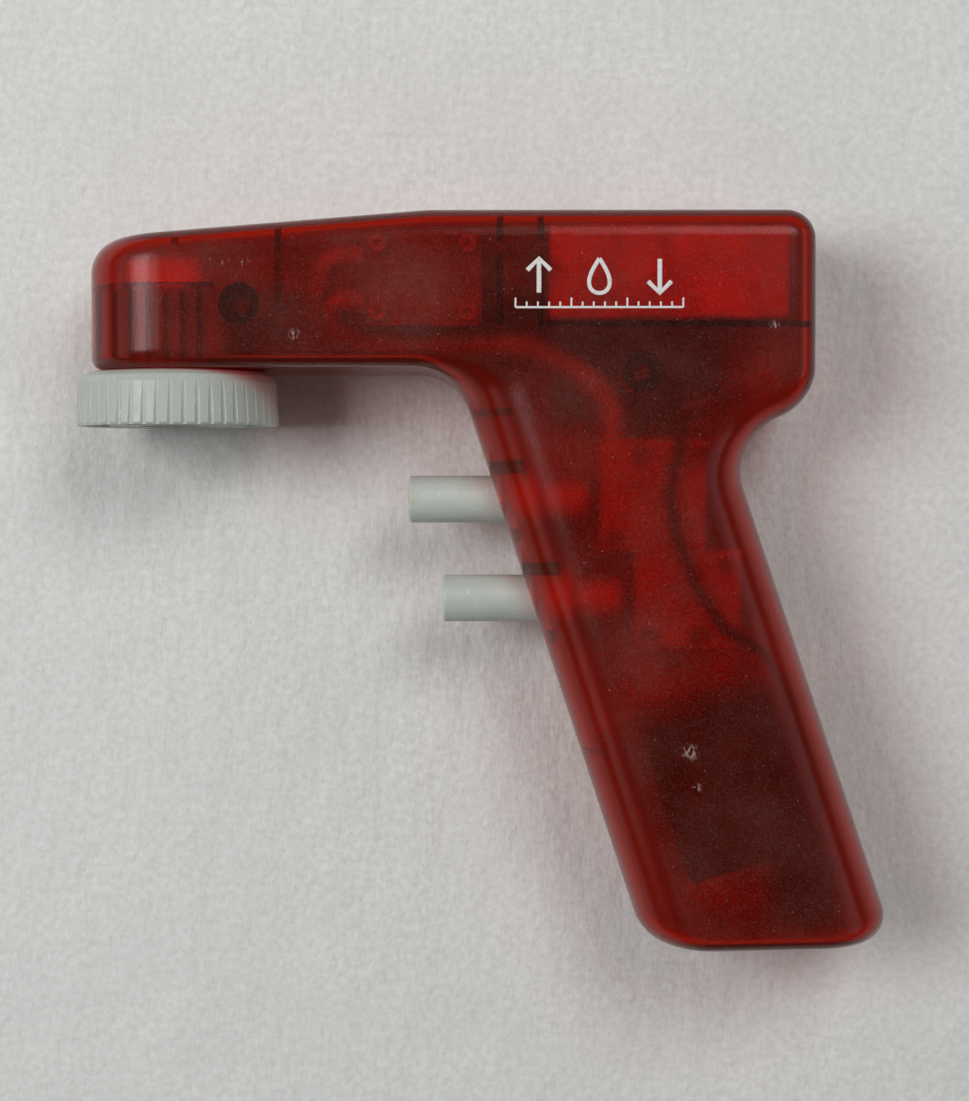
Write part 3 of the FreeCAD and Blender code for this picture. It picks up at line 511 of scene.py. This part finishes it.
def return_spring(name):
    """A coil spring in place of the plain sleeve that keeps its room, closed at both ends."""
    low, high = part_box(name)
    middle = (low + high) / 2
    wire = SPRING_WIRE * MM
    coil = (high.y - low.y) / 2 - wire
    closed = 2 * wire
    free = high.x - low.x - 2 * wire - 2 * closed
    points = []
    for step in range(SPRING_TURNS * SPRING_STEPS + 1):
        turn = step / SPRING_STEPS
        if turn < 1:
            along = closed * turn
        elif turn > SPRING_TURNS - 1:
            along = closed + free + closed * (turn - SPRING_TURNS + 1)
        else:
            along = closed + free * (turn - 1) / (SPRING_TURNS - 2)
        angle = 2 * math.pi * turn
        out = Vector((0, math.cos(angle), math.sin(angle))) * coil
        points.append(Vector((low.x + wire + along, middle.y, middle.z)) + out)
    coil_name = name + "_coil"
    made = piece(coil_name, tube_mesh(coil_name, points, wire), "housing", "spring_steel")
    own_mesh(made)
    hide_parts(name)


def foam_block(name, voxel, crumble):
    """Cut foam in place of a plain block: soft edges and an uneven, crumbled skin inside the same room."""
    source = NODES[name]
    mesh = source.data.copy()
    mesh.transform(source.matrix_world)
    mesh.materials.clear()
    rough = bpy.data.objects.new(name + "_cut", mesh)
    bpy.context.scene.collection.objects.link(rough)
    remesh = rough.modifiers.new("even", "REMESH")
    remesh.mode = "VOXEL"
    remesh.voxel_size = voxel * MM
    even = bpy.data.meshes.new_from_object(rough.evaluated_get(bpy.context.evaluated_depsgraph_get()))
    bpy.data.objects.remove(rough)
    form = bmesh.new()
    form.from_mesh(even)
    for _ in range(FOAM_SMOOTHING):
        bmesh.ops.smooth_vert(form, verts=form.verts, factor=0.5,
                              use_axis_x=True, use_axis_y=True, use_axis_z=True)
    form.normal_update()
    moves = []
    for vert in form.verts:
        wave = noise.noise(vert.co / (FOAM_LUMP * MM)) + 0.6 * noise.noise(vert.co / (FOAM_CRUMB * MM))
        moves.append(vert.normal * (-0.5 * crumble * MM * (1 + max(-1.0, min(1.0, wave)))))
    for vert, move in zip(form.verts, moves):
        vert.co += move
    form.to_mesh(even)
    form.free()
    smooth(even)
    made = piece(name + "_foam", even, "housing", SLOT_OF[name])
    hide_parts(name)


def printed_line(points, width):
    """A line of ink on the left side, as wide as given, with its upper half standing 0.03 mm proud."""
    mesh = tube_mesh("ink_line", [Vector((x * MM, y * MM, 0)) for x, y in points], width / 2 * MM)
    mesh.transform(Matrix.Scale(INK_THICKNESS / width, 4, (0, 0, 1)))
    mesh.transform(Matrix.Translation((0, 0, HIGH.z)))
    return mesh


def filling_mark():
    """A plain mark for filling and emptying: a drop between two arrows, over a graduated scale."""
    drop = []
    for step in range(33):
        turn = 2 * math.pi * step / 32
        narrow = math.sin(turn / 2) ** 1.2
        drop.append((DROP_X + DROP_WIDTH * math.sin(turn) * narrow, MARK_Y + DROP_HEIGHT * math.cos(turn)))
    lines = [(drop, DROP_LINE)]
    for x, way in ((UP_ARROW_X, 1), (DOWN_ARROW_X, -1)):
        tip = (x, MARK_Y + way * ARROW_REACH)
        barb_y = tip[1] - way * ARROW_HEAD
        lines.append(([(x, MARK_Y - way * ARROW_SHAFT), (x, MARK_Y + way * ARROW_SHAFT)], ARROW_LINE))
        lines.append(([(x - ARROW_HEAD, barb_y), tip, (x + ARROW_HEAD, barb_y)], ARROW_LINE))
    scale_end = SCALE_START + SCALE_STEP * (SCALE_MARKS - 1)
    lines.append(([(SCALE_START, SCALE_Y), (scale_end, SCALE_Y)], SCALE_LINE))
    for number in range(SCALE_MARKS):
        x = SCALE_START + SCALE_STEP * number
        tall = LONG_TICK if number % 5 == 0 else SHORT_TICK
        lines.append(([(x, SCALE_Y), (x, SCALE_Y + tall)], TICK_LINE))
    form = bmesh.new()
    for points, width in lines:
        line = printed_line(points, width)
        form.from_mesh(line)
        bpy.data.meshes.remove(line)
    mesh = bpy.data.meshes.new("filling_mark")
    form.to_mesh(mesh)
    form.free()
    smooth(mesh)
    mesh.materials.append(ink())
    piece("filling_mark", mesh, "housing", None)


return_spring("aspirate_spring")
return_spring("dispense_spring")
foam_block("motor_cushion", 0.8, 0.5)
foam_block("left_battery_pad", 0.6, 0.4)
foam_block("right_battery_pad", 0.6, 0.4)
filling_mark()


# ---------------------------------------------------------------- floor, light and camera

def floor():
    """A pale, crinkled sheet of bench paper."""
    t = Tree("bench_sheet")
    blotch = t.span(t.noise(26, 4.0, 0.6, (1.6, 1, 1)), 0.3, 0.7)
    fibre = t.noise(1.5, 4.0, 0.65)
    tint = t.blend(blotch, rgb(0.825, 0.835, 0.81), rgb(0.755, 0.765, 0.75))
    tint = t.blend(t.span(fibre, 0.32, 0.68, 0.0, 0.8), tint, rgb(0.64, 0.64, 0.62))
    creases = t.noise(11, 4.0, 0.62, (1, 2.2, 1))
    normal = t.bump(creases, 1.2)
    normal = t.bump(fibre, 0.12, normal)
    material = t.finish(t.principled(Base_Color=tint, Roughness=0.8, Normal=normal))
    size = FLOOR_REACH * MM
    mesh = bpy.data.meshes.new("bench_sheet")
    corners = [(-size, -size, 0), (size, -size, 0), (size, size, 0), (-size, size, 0)]
    mesh.from_pydata(corners, [], [(0, 1, 2, 3)])
    mesh.materials.append(material)
    sheet = bpy.data.objects.new("bench_sheet", mesh)
    sheet.location.z = LOW.z - FLOOR_GAP * MM
    bpy.context.scene.collection.objects.link(sheet)


def soft_lamp(name, place, width, height, power):
    """A rectangular soft box, turned to the tool."""
    light = bpy.data.lights.new(name, "AREA")
    light.shape = "RECTANGLE"
    light.size = width * MM
    light.size_y = height * MM
    light.energy = power
    lamp = bpy.data.objects.new(name, light)
    lamp.location = Vector(place) * MM
    lamp.rotation_euler = (Vector(LAMP_AIM) - Vector(place)).to_track_quat("-Z", "Y").to_euler()
    bpy.context.scene.collection.objects.link(lamp)


def studio(low_strength, top_strength):
    """Grey walls all round under a darker ceiling."""
    world = bpy.data.worlds.new("studio")
    world.use_nodes = True
    tree = world.node_tree
    place = tree.nodes.new("ShaderNodeTexCoord")
    parts = tree.nodes.new("ShaderNodeSeparateXYZ")
    fall = tree.nodes.new("ShaderNodeMapRange")
    fall.inputs["From Min"].default_value = 0.75
    fall.inputs["From Max"].default_value = 0.93
    fall.inputs["To Min"].default_value = low_strength
    fall.inputs["To Max"].default_value = top_strength
    background = tree.nodes["Background"]
    background.inputs["Color"].default_value = (1.0, 1.0, 0.99, 1)
    tree.links.new(place.outputs["Generated"], parts.inputs[0])
    tree.links.new(parts.outputs["Z"], fall.inputs["Value"])
    tree.links.new(fall.outputs[0], background.inputs["Strength"])
    bpy.context.scene.world = world


def camera():
    """A long lens, looking nearly straight down on the left side."""
    data = bpy.data.cameras.new("camera")
    data.sensor_fit = "HORIZONTAL"
    data.sensor_width = SENSOR_WIDTH
    data.lens = CAMERA_LENS
    data.clip_start = 0.01
    eye = Vector(CAMERA_PLACE) * MM
    forward = (Vector(CAMERA_AIM) * MM - eye).normalized()
    up = Vector((math.sin(CAMERA_ROLL), math.cos(CAMERA_ROLL), 0))
    right = forward.cross(up).normalized()
    made = bpy.data.objects.new("camera", data)
    turn = Matrix((right, right.cross(forward), -forward)).transposed().to_4x4()
    made.matrix_world = Matrix.Translation(eye) @ turn
    bpy.context.scene.collection.objects.link(made)
    bpy.context.scene.camera = made


floor()
studio(0.115, 0.03)
for lamp in LAMPS:
    soft_lamp(*lamp)
camera()
bpy.context.scene.view_settings.view_transform = "Standard"
